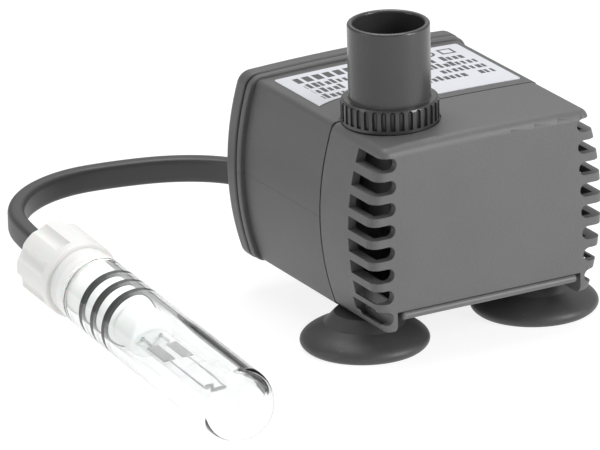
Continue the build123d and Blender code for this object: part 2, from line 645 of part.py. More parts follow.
# ---------------------------------------------------------------- lamp lead
def lead_route():
    """Corner points of the lead, from the gland's face to the lamp cap's rear face."""
    bends = (
        (-GLAND_X, GLAND_REAR, GLAND_Z), (-GLAND_X, 67.0, GLAND_Z), (-17.6, 75.0, 17.7), (-26.0, 81.3, 17.6),
        (-36.8, 84.7, 17.4), (-47.6, 86.2, 17.2), (-57.8, 82.5, 16.8), (-64.9, 74.4, 16.3),
    )
    points = [Vector(*at(*bend)) for bend in bends]
    return points + [LAMP_FRAME.from_local_coords((0, 0, CAP_REAR + reach)) for reach in (8.6, 0)]


def lead_radii(points):
    """One arc for each inner corner: 0.45 of the shorter run over the tangent of half the turn."""
    radii = []
    for before, corner, after in zip(points, points[1:], points[2:]):
        run_in = corner - before
        run_out = after - corner
        turn = run_in.get_angle(run_out)
        radii.append(0.45 * min(run_in.length, run_out.length) / math.tan(math.radians(turn / 2)))
    return radii


def lamp_lead():
    """The flat twin lead, standing on its narrow side, swept along straight runs and tangent arcs."""
    points = lead_route()
    radii = lead_radii(points)
    path = FilletPolyline(*points, radius=radii)
    start = Plane(origin=path @ 0, x_dir=(0, 0, 1), z_dir=path % 0)
    section = start * SlotOverall(LEAD_WIDTH, LEAD_THICKNESS)
    lead = sweep(section, path=path)
    expected = section.area * path.length
    print("lead radii", [round(radius, 1) for radius in radii])
    print("lead length", round(path.length, 1), "section x length", round(expected, 1))
    print("lead volume", round(lead.volume, 1))
    return lead


# ---------------------------------------------------------------- write every piece
core = stator_core()
bobbin = coil_bobbin()
winding = coil_winding()

save(intake_cover(), "intake_cover")
save(flow_slide(), "flow_slide")
save(motor_housing(), "motor_housing")
save(rear_seal(), "rear_seal")
save(rear_cover(), "rear_cover")
save(lamp_lead_gland(), "lamp_lead_gland")
save(supply_lead_gland(), "supply_lead_gland")
save(core, "stator_core")
save(bobbin, "coil_bobbin")
save(winding, "coil_winding")
save(potting_resin([core, bobbin, winding]), "potting_resin")
save(rotor_shaft(), "rotor_shaft")
save(bush(SHAFT_FRONT, VOLUTE_FRONT + 0.5, FRONT_BUSH_RADIUS), "front_bush")
save(bush(REAR_BUSH_FRONT, WELL_REAR - 1.4, REAR_BUSH_RADIUS), "rear_bush")
save(rotor_magnet(), "rotor_magnet")
save(rotor_sleeve(), "rotor_sleeve")
save(impeller(), "impeller")
save(volute_cover(), "volute_cover")
save(volute_seal(), "volute_seal")
save(outlet_nozzle(), "outlet_nozzle")
save(nozzle_seal(), "nozzle_seal")
save(rating_label(), "rating_label")
save(suction_cup(-CUP_X, CUP_DEPTH, CUP_SHOULDER_Z, RECESS_TOP - 0.9), "suction_cup_left")
save(suction_cup(CUP_X, CUP_DEPTH, CUP_SHOULDER_Z, RECESS_TOP - 0.9), "suction_cup_right")
save(suction_cup(0, REAR_CUP_DEPTH, CUP_SHOULDER_Z, BODY_LOW + REAR_BOSS_HEIGHT - 1.1), "suction_cup_rear")
save(placed(lamp_lens()), "lamp_lens")
save(placed(lamp_plug()), "lamp_plug")
for number, place in enumerate(RING_PLACES, start=1):
    save(placed(lamp_seal(place)), "lamp_seal_" + str(number))
save(placed(lamp_cap()), "lamp_cap")
save(placed(lead_grommet()), "lead_grommet")
save(placed(lamp_socket()), "lamp_socket")
save(placed(bulb_envelope()), "bulb_envelope")
save(placed(filament()), "bulb_filament")
for side, name in ((-1, "left"), (1, "right")):
    save(placed(socket_contact(side)), "socket_contact_" + name)
    save(placed(foil_solid(side)), "bulb_foil_" + name)
    save(placed(pin_solid(side)), "bulb_pin_" + name)
    save(placed(support_solid(side)), "bulb_support_" + name)
save(lamp_lead(), "lamp_lead")
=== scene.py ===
# %% [markdown]
# # A submersible fountain pump and its plug-in lamp
#
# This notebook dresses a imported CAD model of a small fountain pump: a dark moulded body on suction
# cups, an upright hose nozzle, a silver rating label, and a lamp in a clear tube on a short flat lead.
# The CAD model is the fixed frame. It gives every place and size, so this script only reads it,
# gives each of its pieces a finish, and makes finer pieces where glass, rubber and cable need them.

import json
import math

import bmesh
import bpy
import numpy as np
from mathutils import Matrix, Vector


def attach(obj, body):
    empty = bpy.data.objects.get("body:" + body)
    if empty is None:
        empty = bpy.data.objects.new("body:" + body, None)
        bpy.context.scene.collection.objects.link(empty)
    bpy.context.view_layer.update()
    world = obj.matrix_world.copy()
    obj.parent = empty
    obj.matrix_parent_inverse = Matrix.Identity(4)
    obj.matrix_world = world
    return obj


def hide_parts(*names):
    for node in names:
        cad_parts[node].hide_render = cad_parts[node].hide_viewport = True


MM = 0.001

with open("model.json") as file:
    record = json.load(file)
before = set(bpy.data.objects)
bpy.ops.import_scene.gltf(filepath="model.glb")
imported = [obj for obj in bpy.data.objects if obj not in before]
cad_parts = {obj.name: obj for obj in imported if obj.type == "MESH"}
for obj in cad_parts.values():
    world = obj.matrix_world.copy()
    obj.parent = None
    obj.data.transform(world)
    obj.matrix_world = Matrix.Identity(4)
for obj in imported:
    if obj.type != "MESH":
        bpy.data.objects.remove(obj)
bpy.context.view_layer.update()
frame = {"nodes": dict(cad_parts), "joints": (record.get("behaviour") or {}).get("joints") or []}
joints = {joint["name"]: joint for joint in frame["joints"]}

# %% [markdown]
# ## The camera
#
# Something this small is best seen with a long lens from more than a metre away, so that its edges stay
# nearly parallel. The camera could be aimed with a constraint, but its matrix is written straight
# from an azimuth, an elevation and a small roll, so that nothing is left to evaluate later.

# %% The camera
CAMERA_AZIMUTH = math.radians(-28.648)
CAMERA_ELEVATION = math.radians(20.043)
CAMERA_ROLL = math.radians(-1.387)
CAMERA_DISTANCE = 1442.7 * MM
CAMERA_TARGET = Vector((0, -9.0, 25.0)) * MM
CAMERA_SHIFT_RIGHT = 26.476 * MM
CAMERA_SHIFT_UP = 5.425 * MM
CAMERA_LENS = 445.98


def look_axes(azimuth, elevation, roll):
    """The camera's right, up and backward directions: back points from the target to the camera,
    right is level before the roll, and the roll turns right and up about back."""
    level = math.cos(elevation)
    back = Vector((math.sin(azimuth) * level, -math.cos(azimuth) * level, math.sin(elevation)))
    flat_right = Vector((math.cos(azimuth), math.sin(azimuth), 0))
    flat_up = back.cross(flat_right)
    right = flat_right * math.cos(roll) + flat_up * math.sin(roll)
    up = flat_up * math.cos(roll) - flat_right * math.sin(roll)
    return right, up, back


right, up, back = look_axes(CAMERA_AZIMUTH, CAMERA_ELEVATION, CAMERA_ROLL)
eye = CAMERA_TARGET + back * CAMERA_DISTANCE - right * CAMERA_SHIFT_RIGHT - up * CAMERA_SHIFT_UP
camera = bpy.data.objects.new("camera", bpy.data.cameras.new("camera"))
camera.data.lens = CAMERA_LENS
camera.data.sensor_width = 36.0
camera.data.clip_start = 0.1
camera.data.clip_end = 20.0
camera.matrix_world = Matrix.Translation(eye) @ Matrix((right, up, back)).transposed().to_4x4()
bpy.context.scene.collection.objects.link(camera)
bpy.context.scene.camera = camera
print("camera at", [round(value, 4) for value in eye])

# %% [markdown]
# ## Shader maths as Python
#
# A procedural finish is a formula, and a formula reads best as one. The class `Value` wraps a
# socket, so that `0.4 + 0.1 * grain` adds the two Math nodes that work it out. The class `Finish`
# holds a material and adds every other node through one method: the node's kind, its settings,
# and what its sockets hold. Colours are never put through Math nodes, which would turn them grey.

# %% Shader helpers
class Value:
    """A number on a material's node tree. Operators on it add Math nodes."""

    def __init__(self, finish, socket):
        self.finish = finish
        self.socket = socket

    def __add__(self, other):
        return self.finish.math("ADD", self, other)

    __radd__ = __add__

    def __sub__(self, other):
        return self.finish.math("SUBTRACT", self, other)

    def __rsub__(self, other):
        return self.finish.math("SUBTRACT", other, self)

    def __mul__(self, other):
        return self.finish.math("MULTIPLY", self, other)

    __rmul__ = __mul__

    def __truediv__(self, other):
        return self.finish.math("DIVIDE", self, other)

    def __gt__(self, other):
        return self.finish.math("GREATER_THAN", self, other)

    def __lt__(self, other):
        return self.finish.math("LESS_THAN", self, other)

    def __pow__(self, other):
        return self.finish.math("POWER", self, other)

    def __abs__(self):
        return self.finish.math("ABSOLUTE", self)

    def floor(self):
        return self.finish.math("FLOOR", self)

    def fraction(self):
        return self.finish.math("FRACT", self)

    def sine(self):
        return self.finish.math("SINE", self)

    def between(self, low, high):
        """1 where the value is above low and below high, and 0 elsewhere."""
        return (self > low) * (self < high)


class Finish:
    """A material being written: its tree, its Principled shader, and one method that adds a node."""

    def __init__(self, name):
        self.material = bpy.data.materials.new(name)
        self.material.use_nodes = True
        self.tree = self.material.node_tree
        self.shader = self.tree.nodes["Principled BSDF"]

    def fill(self, socket, value):
        """Link a Value to a socket, or set the socket's own number or colour."""
        if isinstance(value, Value):
            self.tree.links.new(value.socket, socket)
        else:
            socket.default_value = value

    def feed(self, node, key, value):
        """Fill the first socket of a node that has that identifier or name."""
        self.fill(next(s for s in node.inputs if key in (s.identifier, s.name)), value)

    def node(self, kind, settings=None, sockets=None, output=0):
        """Add a shader node: its settings first, then its sockets."""
        node = self.tree.nodes.new("ShaderNode" + kind)
        for key, value in (settings or {}).items():
            setattr(node, key, value)
        for key, value in (sockets or {}).items():
            self.feed(node, key, value)
        return Value(self, node.outputs[output])

    def math(self, operation, *values):
        node = self.tree.nodes.new("ShaderNodeMath")
        node.operation = operation
        for socket, value in zip(node.inputs, values):
            self.fill(socket, value)
        return Value(self, node.outputs[0])

    def mix(self, factor, low, high):
        """A colour between two colours. Each is a tuple or a link."""
        sockets = {"Factor_Float": factor, "A_Color": low, "B_Color": high}
        return self.node("Mix", {"data_type": "RGBA"}, sockets, output=2)

    def place(self, scale=(1.0, 1.0, 1.0)):
        """Object coordinates, stretched by a scale."""
        where = self.node("TexCoord", output=3)
        return self.node("Mapping", None, {"Vector": where, "Scale": scale})

    def noise(self, scale, detail=2.0, stretch=(1.0, 1.0, 1.0), roughness=0.5):
        """Noise from 0 to 1 with its grain about 1 / scale metres across."""
        sockets = {"Vector": self.place(stretch), "Scale": scale, "Detail": detail, "Roughness": roughness}
        return self.node("TexNoise", None, sockets)

    def axes(self):
        """The object coordinates as three numbers."""
        where = self.node("TexCoord", output=3)
        split = self.node("SeparateXYZ", None, {"Vector": where}).socket.node
        return [Value(self, output) for output in split.outputs]

    def bump(self, height, distance, strength=1.0, under=None):
        """A normal tilted by a height from 0 to 1 that is worth distance metres."""
        sockets = {"Height": height, "Distance": distance, "Strength": strength}
        if under is not None:
            sockets["Normal"] = under
        return self.node("Bump", None, sockets)

    def done(self, **sockets):
        """Set the shader's sockets, with underscores for spaces, and return the material."""
        for key, value in sockets.items():
            self.feed(self.shader, key.replace("_", " "), value)
        return self.material


def grey(level):
    return (level, level, level, 1.0)


print("shader helpers ready")

# %% [markdown]
# ## Surfaces from numbers
#
# Two kinds of surface make every new piece here. A turned piece carries a profile round an axis, and
# a swept piece carries a section along a path. Both are grids of points that numpy works out whole,
# and one function turns a grid into a mesh. Corners of profiles are eased, because a real moulding
# has no knife edges and a small round catches the light.

# %% Mesh helpers
def eased(corners, steps=6, closed=False):
    """Points along an outline whose corners (x, y, ease) are rounded: each corner becomes a curve that
    is tangent to both its sides, (1 - s)^2 A + 2 s (1 - s) P + s^2 B, with A and B an ease from P."""
    corners = np.array(corners, float)
    point, ease = corners[:, :2], corners[:, 2:]
    before, after = np.roll(point, 1, axis=0), np.roll(point, -1, axis=0)
    to_before = (before - point) / np.linalg.norm(before - point, axis=1, keepdims=True)
    to_after = (after - point) / np.linalg.norm(after - point, axis=1, keepdims=True)
    s = np.linspace(0, 1, steps)[None, :, None]
    start, end = (point + to_before * ease)[:, None], (point + to_after * ease)[:, None]
    curve = (1 - s) ** 2 * start + 2 * s * (1 - s) * point[:, None] + s**2 * end
    if not closed:
        curve[0], curve[-1] = point[0], point[-1]
    return curve.reshape(-1, 2)


def grid_mesh(name, points, along_ring=False):
    """A mesh over a grid of points (rows, columns, 3): a quad between each four neighbours. Columns join
    into a ring, and rows too if asked. Points in one place are merged, and the UV map holds the
    share of the way round and along."""
    rows, columns = points.shape[:2]
    index = np.arange(rows * columns).reshape(rows, columns)
    low = index if along_ring else index[:-1]
    high = np.roll(index, -1, axis=0) if along_ring else index[1:]
    quads = np.stack([low, np.roll(low, -1, 1), np.roll(high, -1, 1), high], axis=-1)
    row, column = np.mgrid[0 : quads.shape[0], 0 : quads.shape[1]]
    u = (column[..., None] + [0, 1, 1, 0]) / columns
    v = (row[..., None] + [0, 0, 1, 1]) / rows
    mesh = bpy.data.meshes.new(name)
    mesh.from_pydata(points.reshape(-1, 3).tolist(), [], quads.reshape(-1, 4).tolist())
    layer = mesh.uv_layers.new(name="UVMap")
    layer.data.foreach_set("uv", np.stack([u, v], axis=-1).astype(np.float32).ravel())
    shape = bmesh.new()
    shape.from_mesh(mesh)
    bmesh.ops.remove_doubles(shape, verts=shape.verts, dist=1e-7)
    bmesh.ops.recalc_face_normals(shape, faces=shape.faces)
    shape.to_mesh(mesh)
    shape.free()
    return mesh


def moved(points, place):
    """Points (..., 3) moved by a matrix."""
    matrix = np.array(place, float)
    return points @ matrix[:3, :3].T + matrix[:3, 3]


def turned_points(profile, place, turns=96):
    """Points of a profile of (radius, height) turned about an axis: x = r cos a, y = r sin a, z = h, then
    moved by the matrix place."""
    profile = np.array(profile, float)
    angle = np.linspace(0, 2 * math.pi, turns, endpoint=False)
    radius, height = profile[:, 0, None], profile[:, 1, None]
    local = np.stack([radius * np.cos(angle), radius * np.sin(angle), height + 0 * angle], axis=-1)
    return moved(local, place)


def swept_points(path, section, upright):
    """Points of a section of (side, up) pairs carried along a path: at each point of the path, side is
    upright x tangent, up is tangent x side, and the section lies across them."""
    path = np.array(path, float)
    tangent = np.gradient(path, axis=0)
    tangent /= np.linalg.norm(tangent, axis=1, keepdims=True)
    side = np.cross(upright, tangent)
    side /= np.linalg.norm(side, axis=1, keepdims=True)
    rise = np.cross(tangent, side)
    section = np.array(section, float)
    return path[:, None] + section[None, :, :1] * side[:, None] + section[None, :, 1:] * rise[:, None]


def capped(points):
    """A swept grid with each end drawn in to its middle, so that the ends are closed."""
    first, last = points[:1].mean(axis=1, keepdims=True), points[-1:].mean(axis=1, keepdims=True)
    ends = [np.repeat(end, points.shape[1], axis=1) for end in (first, last)]
    return np.concatenate([ends[0], points, ends[1]])


def piece(name, mesh, material, body, replaces=(), sharp=40):
    """A finished piece: shaded smooth but for sharp edges, riding on a body, standing for CAD nodes."""
    mesh.name = name
    mesh.shade_smooth()
    mesh.set_sharp_from_angle(angle=math.radians(sharp))
    mesh.materials.append(material)
    made = bpy.data.objects.new(name, mesh)
    bpy.context.scene.collection.objects.link(made)
    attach(made, body)
    for node in replaces:
        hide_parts(node)
    print(name, "faces", len(mesh.polygons))
    return made


print("mesh helpers ready")

# %% [markdown]
# ## The lead's route
#
# The lamp hangs on a short flat twin lead. It leaves its gland straight back, swings round to the
# side of the pump in one easy curve, and enters the lamp's cap along the lamp's own axis. The route is
# the same list of points as in the CAD part. A NURBS spline with those points as its control points
# rounds every corner, so nothing else has to. The spline is only a guide here: its points become the
# path of a flat section, because a curve's own bevel would be round.

# %% The lead's route
LEAD_ROUTE = (
    (-0.0137, 0.0295, 0.0177), (-0.0137, 0.0380, 0.0177), (-0.0176, 0.0460, 0.0177),
    (-0.0260, 0.0523, 0.0176), (-0.0368, 0.0557, 0.0174), (-0.0476, 0.0572, 0.0172),
    (-0.0578, 0.0535, 0.0168), (-0.0649, 0.0454, 0.0163), (-0.06649, 0.03548, 0.01567),
    (-0.06624, 0.02693, 0.01477),
)
LEAD_WIDTH = 5.2 * MM
LEAD_THICKNESS = 3.4 * MM
LEAD_CORNER = 1.3 * MM


def spline_points(route):
    """Points read from the NURBS spline that has the route as its control points."""
    curve = bpy.data.curves.new("route", "CURVE")
    curve.dimensions = "3D"
    curve.resolution_u = 16
    spline = curve.splines.new("NURBS")
    spline.points.add(len(route) - 1)
    spline.points.foreach_set("co", np.hstack([route, np.ones((len(route), 1))]).ravel())
    spline.order_u = 3
    spline.use_endpoint_u = True
    holder = bpy.data.objects.new("route", curve)
    line = bpy.data.meshes.new_from_object(holder)
    points = np.zeros(len(line.vertices) * 3, np.float32)
    line.vertices.foreach_get("co", points)
    bpy.data.objects.remove(holder)
    bpy.data.meshes.remove(line)
    return points.reshape(-1, 3).astype(float)


lead_path = spline_points(np.array(LEAD_ROUTE))
spline_length = np.linalg.norm(np.diff(lead_path, axis=0), axis=1).sum()
print("lead spline", round(spline_length / MM, 1), "mm in", len(lead_path), "points")

# %% [markdown]
# ## Finishes of the dark mouldings
#
# The body is moulded in dark grey ABS from a tool with a fine spark-eroded grain, so it is matt, with a
# soft sheen and a faint speckle. The nozzle is the same plastic from a polished tool. Colour
# stays nearly even on both; the life is in the bump and in the roughness, which varies a little where
# the melt cooled unevenly and where hands have been.

# %% Dark mouldings
def grained_plastic(name, level, grain, gloss, parting=False):
    """Dark plastic with a spark-eroded grain. Its parting line, if it has one, runs round at mid height."""
    finish = Finish(name)
    cloud = finish.noise(90.0, detail=3.0)
    speckle = finish.noise(2000.0, detail=2.0)
    fine = finish.noise(2600.0, detail=2.0)
    shade = 0.45 * cloud + 0.55 * speckle
    dark = (level * 0.78, level * 0.765, level * 0.78, 1)
    light = (level * 1.24, level * 1.22, level * 1.22, 1)
    colour = finish.mix(shade, dark, light)
    normal = finish.bump(fine, grain, 0.9)
    if parting:
        _, _, height = finish.axes()
        line = abs(height - PARTING_HEIGHT) < PARTING_WIDTH / 2
        normal = finish.bump(1.0 - line, 0.12 * MM, 0.8, normal)
        colour = finish.mix(line * 0.45, colour, grey(level * 0.4))
    roughness = gloss + 0.12 * cloud + 0.05 * speckle
    return finish.done(Base_Color=colour, Roughness=roughness, Normal=normal)


PARTING_HEIGHT = 26.1 * MM
PARTING_WIDTH = 0.16 * MM
body_plastic = grained_plastic("body plastic", 0.105, 0.04 * MM, 0.40)
housing_plastic = grained_plastic("housing plastic", 0.090, 0.04 * MM, 0.40, parting=True)
rear_plastic = grained_plastic("rear cover plastic", 0.088, 0.03 * MM, 0.38)
slide_plastic = grained_plastic("slide plastic", 0.115, 0.02 * MM, 0.34)


def polished_plastic():
    """The nozzle's plastic: smooth, with faint upright flow lines left by the melt."""
    finish = Finish("nozzle plastic")
    cloud = finish.noise(120.0, detail=2.0)
    flow = finish.noise(500.0, detail=2.0, stretch=(1.0, 1.0, 0.12))
    fine = finish.noise(3000.0, detail=1.0)
    colour = finish.mix(cloud, grey(0.036), grey(0.048))
    normal = finish.bump(0.7 * flow + 0.3 * fine, 0.02 * MM, 0.5)
    return finish.done(Base_Color=colour, Roughness=0.20 + 0.12 * flow, Normal=normal)


nozzle_plastic = polished_plastic()
print("dark mouldings", body_plastic.name, nozzle_plastic.name)

# %% [markdown]
# ## Rubber, cable and white plastic
#
# Rubber is nearly black, duller than plastic, and blooms: a thin grey film that lies in clouds and gathers
# specks of dust. The lead's PVC is satin, with fine lines drawn along it by the extruder, so its
# pattern follows the piece's own UV map. The lamp's plug and cap are white plastic that light
# enters a little way, which softens the flutes.

# %% Rubber, cable and white plastic
def rubber(name, level, bloom, dust):
    """Rubber with a cloudy bloom, and dust where two noises of unlike size are both high."""
    finish = Finish(name)
    cloud = finish.noise(160.0, detail=4.0, roughness=0.6)
    speck = (finish.noise(1700.0, detail=3.0) > 0.64) * (finish.noise(310.0) > 0.55)
    colour = finish.mix(cloud, grey(level * 0.75), grey(level * 1.25 + bloom))
    colour = finish.mix(speck * dust, colour, grey(level * 2.0 + 0.02))
    normal = finish.bump(finish.noise(2200.0, detail=2.0), 0.02 * MM, 0.5)
    return finish.done(Base_Color=colour, Roughness=0.38 + 0.2 * cloud, Normal=normal)


cup_rubber = rubber("cup rubber", 0.040, 0.010, 0.4)
seal_rubber = rubber("seal rubber", 0.008, 0.003, 0.0)
gland_rubber = rubber("gland rubber", 0.026, 0.006, 0.3)


def extruded_pvc():
    """The lead's sheath. U goes round it and V along it, so a noise stretched along V gives draw lines."""
    finish = Finish("lead pvc")
    where = finish.node("UVMap")
    lines = finish.node("Mapping", None, {"Vector": where, "Scale": (60.0, 3.0, 1.0)})
    draw = finish.node("TexNoise", None, {"Vector": lines, "Scale": 1.0, "Detail": 2.0})
    cloud = finish.noise(150.0, detail=2.0)
    colour = finish.mix(cloud, grey(0.034), grey(0.048))
    normal = finish.bump(draw, 0.03 * MM, 0.5)
    return finish.done(Base_Color=colour, Roughness=0.36 + 0.14 * cloud, Normal=normal)


lead_pvc = extruded_pvc()


def white_plastic(name, level, gloss):
    """Unpainted white plastic or ceramic, a little creamy in clouds, which light enters a little way."""
    finish = Finish(name)
    cloud = finish.noise(200.0, detail=2.0)
    bright = (level, level, level * 0.985, 1)
    creamy = (level * 0.95, level * 0.955, level * 0.93, 1)
    colour = finish.mix(cloud, bright, creamy)
    normal = finish.bump(finish.noise(1800.0, detail=1.0), 0.02 * MM, 0.4)
    return finish.done(
        Base_Color=colour, Roughness=gloss + 0.08 * cloud, Normal=normal,
        Subsurface_Weight=0.15, Subsurface_Scale=1.2 * MM,
    )


cap_plastic = white_plastic("cap plastic", 0.76, 0.34)
plug_plastic = white_plastic("plug plastic", 0.82, 0.30)
socket_ceramic = white_plastic("socket ceramic", 0.74, 0.45)
print("soft finishes", cup_rubber.name, lead_pvc.name)

# %% [markdown]
# ## Glass and bulb metals
#
# The lens is moulded glass, so it has a real wall with an inside and an outside, and the faintest
# unevenness in its surface. The bulb inside it is quartz. Full refraction behind a thick lens turns a
# small bulb dark, so the bulb is a thin film instead: clear where it faces the eye, and a
# grey outline where it turns away. Its foils are rolled molybdenum, dull and streaked along the lamp.

# %% Glass and bulb metals
def shadowless(finish):
    """Let light reach what stands behind a clear finish: a shadow ray meets a transparent shader instead."""
    clear = finish.node("BsdfTransparent", None, {"Color": (0.96, 0.98, 0.98, 1)})
    glass = Value(finish, finish.shader.outputs[0])
    shadow_ray = finish.node("LightPath", output=1)
    mixed = finish.node("MixShader", None, {"Fac": shadow_ray, "Shader": glass, "Shader_001": clear})
    surface = finish.tree.nodes["Material Output"].inputs["Surface"]
    finish.tree.links.new(mixed.socket, surface)
    return finish.material


def clear_glass():
    finish = Finish("lens glass")
    wave = finish.noise(120.0, detail=1.0)
    haze = finish.noise(180.0, detail=3.0)
    finish.done(
        Base_Color=(0.985, 0.992, 0.992, 1), Roughness=0.004 + 0.02 * (haze > 0.66), IOR=1.47,
        Transmission_Weight=1.0, Normal=finish.bump(wave, 0.03 * MM, 0.3),
    )
    return shadowless(finish)


lens_glass = clear_glass()


def thin_quartz():
    """A film whose cover grows towards the outline: alpha = 0.08 + 0.6 facing^3."""
    finish = Finish("bulb quartz")
    facing = finish.node("LayerWeight", None, {"Blend": 0.5}, output=1)
    ripple = finish.bump(finish.noise(500.0, detail=1.0), 0.05 * MM, 0.4)
    cover = 0.08 + 0.6 * facing**3
    return finish.done(Base_Color=grey(0.60), Roughness=0.06, Alpha=cover, Normal=ripple)


bulb_quartz = thin_quartz()


def metal(name, low, high, gloss, stretch, size):
    """A metal whose streaks are a stretched noise between two colours."""
    finish = Finish(name)
    streak = finish.noise(size, detail=2.0, stretch=stretch)
    normal = finish.bump(streak, 0.01 * MM, 0.5)
    colour = finish.mix(streak, low, high)
    return finish.done(Base_Color=colour, Metallic=1.0, Roughness=gloss + 0.15 * streak, Normal=normal)


bulb_foil = metal("molybdenum foil", grey(0.26), grey(0.40), 0.30, (1, 0.1, 1), 2500.0)
contact_metal = metal("plated contact", grey(0.55), grey(0.70), 0.2, (1, 0.2, 1), 1500.0)
filament_wire = metal("tungsten wire", grey(0.45), grey(0.60), 0.3, (1, 1, 1), 3000.0)
print("glass and metals", lens_glass.name, bulb_foil.name)

# %% [markdown]
# ## The rating label
#
# A rating label is a satin silver-white film printed in black. It says nothing here: each line
# of print is a row of plain blocks of uneven width and height, with gaps where words end, and
# the marks are a row of big blocks, a plain ring and a plain frame. The blocks come from arithmetic on
# the object's own coordinates: which row a point is in, which cell of that row, and a random
# number for that cell.

# %% The rating label
ROW_PITCH = 3.4 * MM
ROW_HEIGHT = 2.75 * MM
LETTER = 1.30 * MM
PRINT_FRONT = -3.6 * MM
LEFT_PRINT = (-17.4 * MM, -1.0 * MM)
RIGHT_PRINT = (3.0 * MM, 19.0 * MM)
HEADING = 15.2 * MM
BLOCKS_MIDDLE = -10.5 * MM
BLOCKS_PITCH = 2.3 * MM
RING_MIDDLE = 12.2 * MM
FRAME_MIDDLE = 16.6 * MM
RULE = (1.0 * MM, 9.0 * MM)
RULE_PLACE = 13.6 * MM


def printed_rows(finish, across, along, ends, rows, first_row):
    """1 where ink lies in some rows of print. Each cell of a row holds one block with a random width and
    height, and one cell in six is left blank as the space between words."""
    row_place = (along - PRINT_FRONT) / ROW_PITCH
    row = row_place.floor()
    up_the_row = row_place.fraction() * (ROW_PITCH / ROW_HEIGHT)
    cell_place = across / LETTER
    cell = cell_place.floor()
    in_cell = cell_place.fraction()
    seed = finish.node("CombineXYZ", None, {"X": cell, "Y": row})
    luck = finish.node("TexWhiteNoise", {"noise_dimensions": "3D"}, {"Vector": seed})
    other = (luck * 7.31).fraction()
    wide = (in_cell > 0.10) * (in_cell < 0.62 + 0.30 * other)
    tall = (up_the_row > 0.0) * (up_the_row < 0.72 + 0.26 * (luck > 0.7))
    inside = row.between(first_row - 0.5, first_row + rows - 0.5) * across.between(*ends)
    return wide * tall * inside * (luck > 0.17)


def label_film():
    """The film and its print: two blocks of rows, and a heading of big blocks, a ring, a frame and a rule."""
    finish = Finish("label film")
    across, along, _ = finish.axes()
    left = printed_rows(finish, across, along, LEFT_PRINT, 3, 2)
    right = printed_rows(finish, across, along, RIGHT_PRINT, 4, 1)

    def box(middle, half_across, half_along):
        """1 inside a box on the heading's line."""
        return (abs(across - middle) < half_across) * (abs(along - HEADING) < half_along)

    blocks = box(BLOCKS_MIDDLE, 6.9 * MM, 1.5 * MM) * ((across / BLOCKS_PITCH).fraction() > 0.3)
    ring_distance = ((across - RING_MIDDLE) ** 2 + (along - HEADING) ** 2) ** 0.5
    ring = ring_distance.between(1.1 * MM, 1.65 * MM)
    outline = box(FRAME_MIDDLE, 1.6 * MM, 1.5 * MM) - box(FRAME_MIDDLE, 1.1 * MM, 1.0 * MM)
    rule = across.between(*RULE) * (abs(along - RULE_PLACE) < 0.25 * MM)
    ink = (left + right + blocks + ring + outline + rule) > 0.5
    sheen = finish.noise(60.0, detail=2.0)
    fleck = finish.noise(5000.0, detail=1.0)
    film = finish.mix(0.5 * sheen + 0.5 * fleck, (0.55, 0.56, 0.60, 1), (0.68, 0.69, 0.73, 1))
    colour = finish.mix(ink * 0.95, film, grey(0.035))
    roughness = 0.34 + 0.1 * sheen + 0.1 * ink
    return finish.done(Base_Color=colour, Roughness=roughness, Metallic=0.12 * (1.0 - ink))


label_finish = label_film()
print("label finish", label_finish.name, "nodes", len(label_finish.node_tree.nodes))

# %% [markdown]
# ## Finishes inside the pump
#
# Nobody sees the motor until the covers come off, but each piece still gets the finish it is made with:
# sheets stacked into a core, turns of enamelled wire, cast resin, ground ferrite and white
# running parts. The core's sheets and the coil's turns are fine stripes across one axis.

# %% Finishes inside
def striped(name, axis, pitch, low, high, gloss, metallic):
    """Stripes across an axis, as edges of sheets or turns of wire: a sine of the place over the pitch."""
    finish = Finish(name)
    place = finish.axes()[axis]
    stripe = 0.5 + 0.5 * (place * (2 * math.pi / pitch)).sine()
    cloud = finish.noise(300.0, detail=3.0)
    colour = finish.mix(0.6 * stripe + 0.4 * cloud, low, high)
    normal = finish.bump(stripe, 0.3 * pitch, 0.7)
    return finish.done(Base_Color=colour, Metallic=metallic, Roughness=gloss + 0.15 * cloud, Normal=normal)


lamination_steel = striped("lamination steel", 1, 0.5 * MM, grey(0.12), grey(0.42), 0.35, 1.0)
copper_wire = striped("copper wire", 2, 0.3 * MM, (0.35, 0.10, 0.03, 1), (0.80, 0.34, 0.14, 1), 0.25, 1.0)
potting_resin = rubber("potting resin", 0.018, 0.004, 0.1)
magnet_ferrite = rubber("magnet ferrite", 0.075, 0.01, 0.3)
bobbin_nylon = white_plastic("bobbin nylon", 0.62, 0.40)
running_plastic = white_plastic("running plastic", 0.80, 0.28)
shaft_ceramic = white_plastic("shaft ceramic", 0.84, 0.18)
print("inside finishes", lamination_steel.name, copper_wire.name)

# %% [markdown]
# ## Dress the CAD pieces
#
# Most pieces keep their CAD shape and only take a finish. A CAD mesh is never touched, so the finish
# goes into its object's own slot, which leaves the mesh's data as it came.

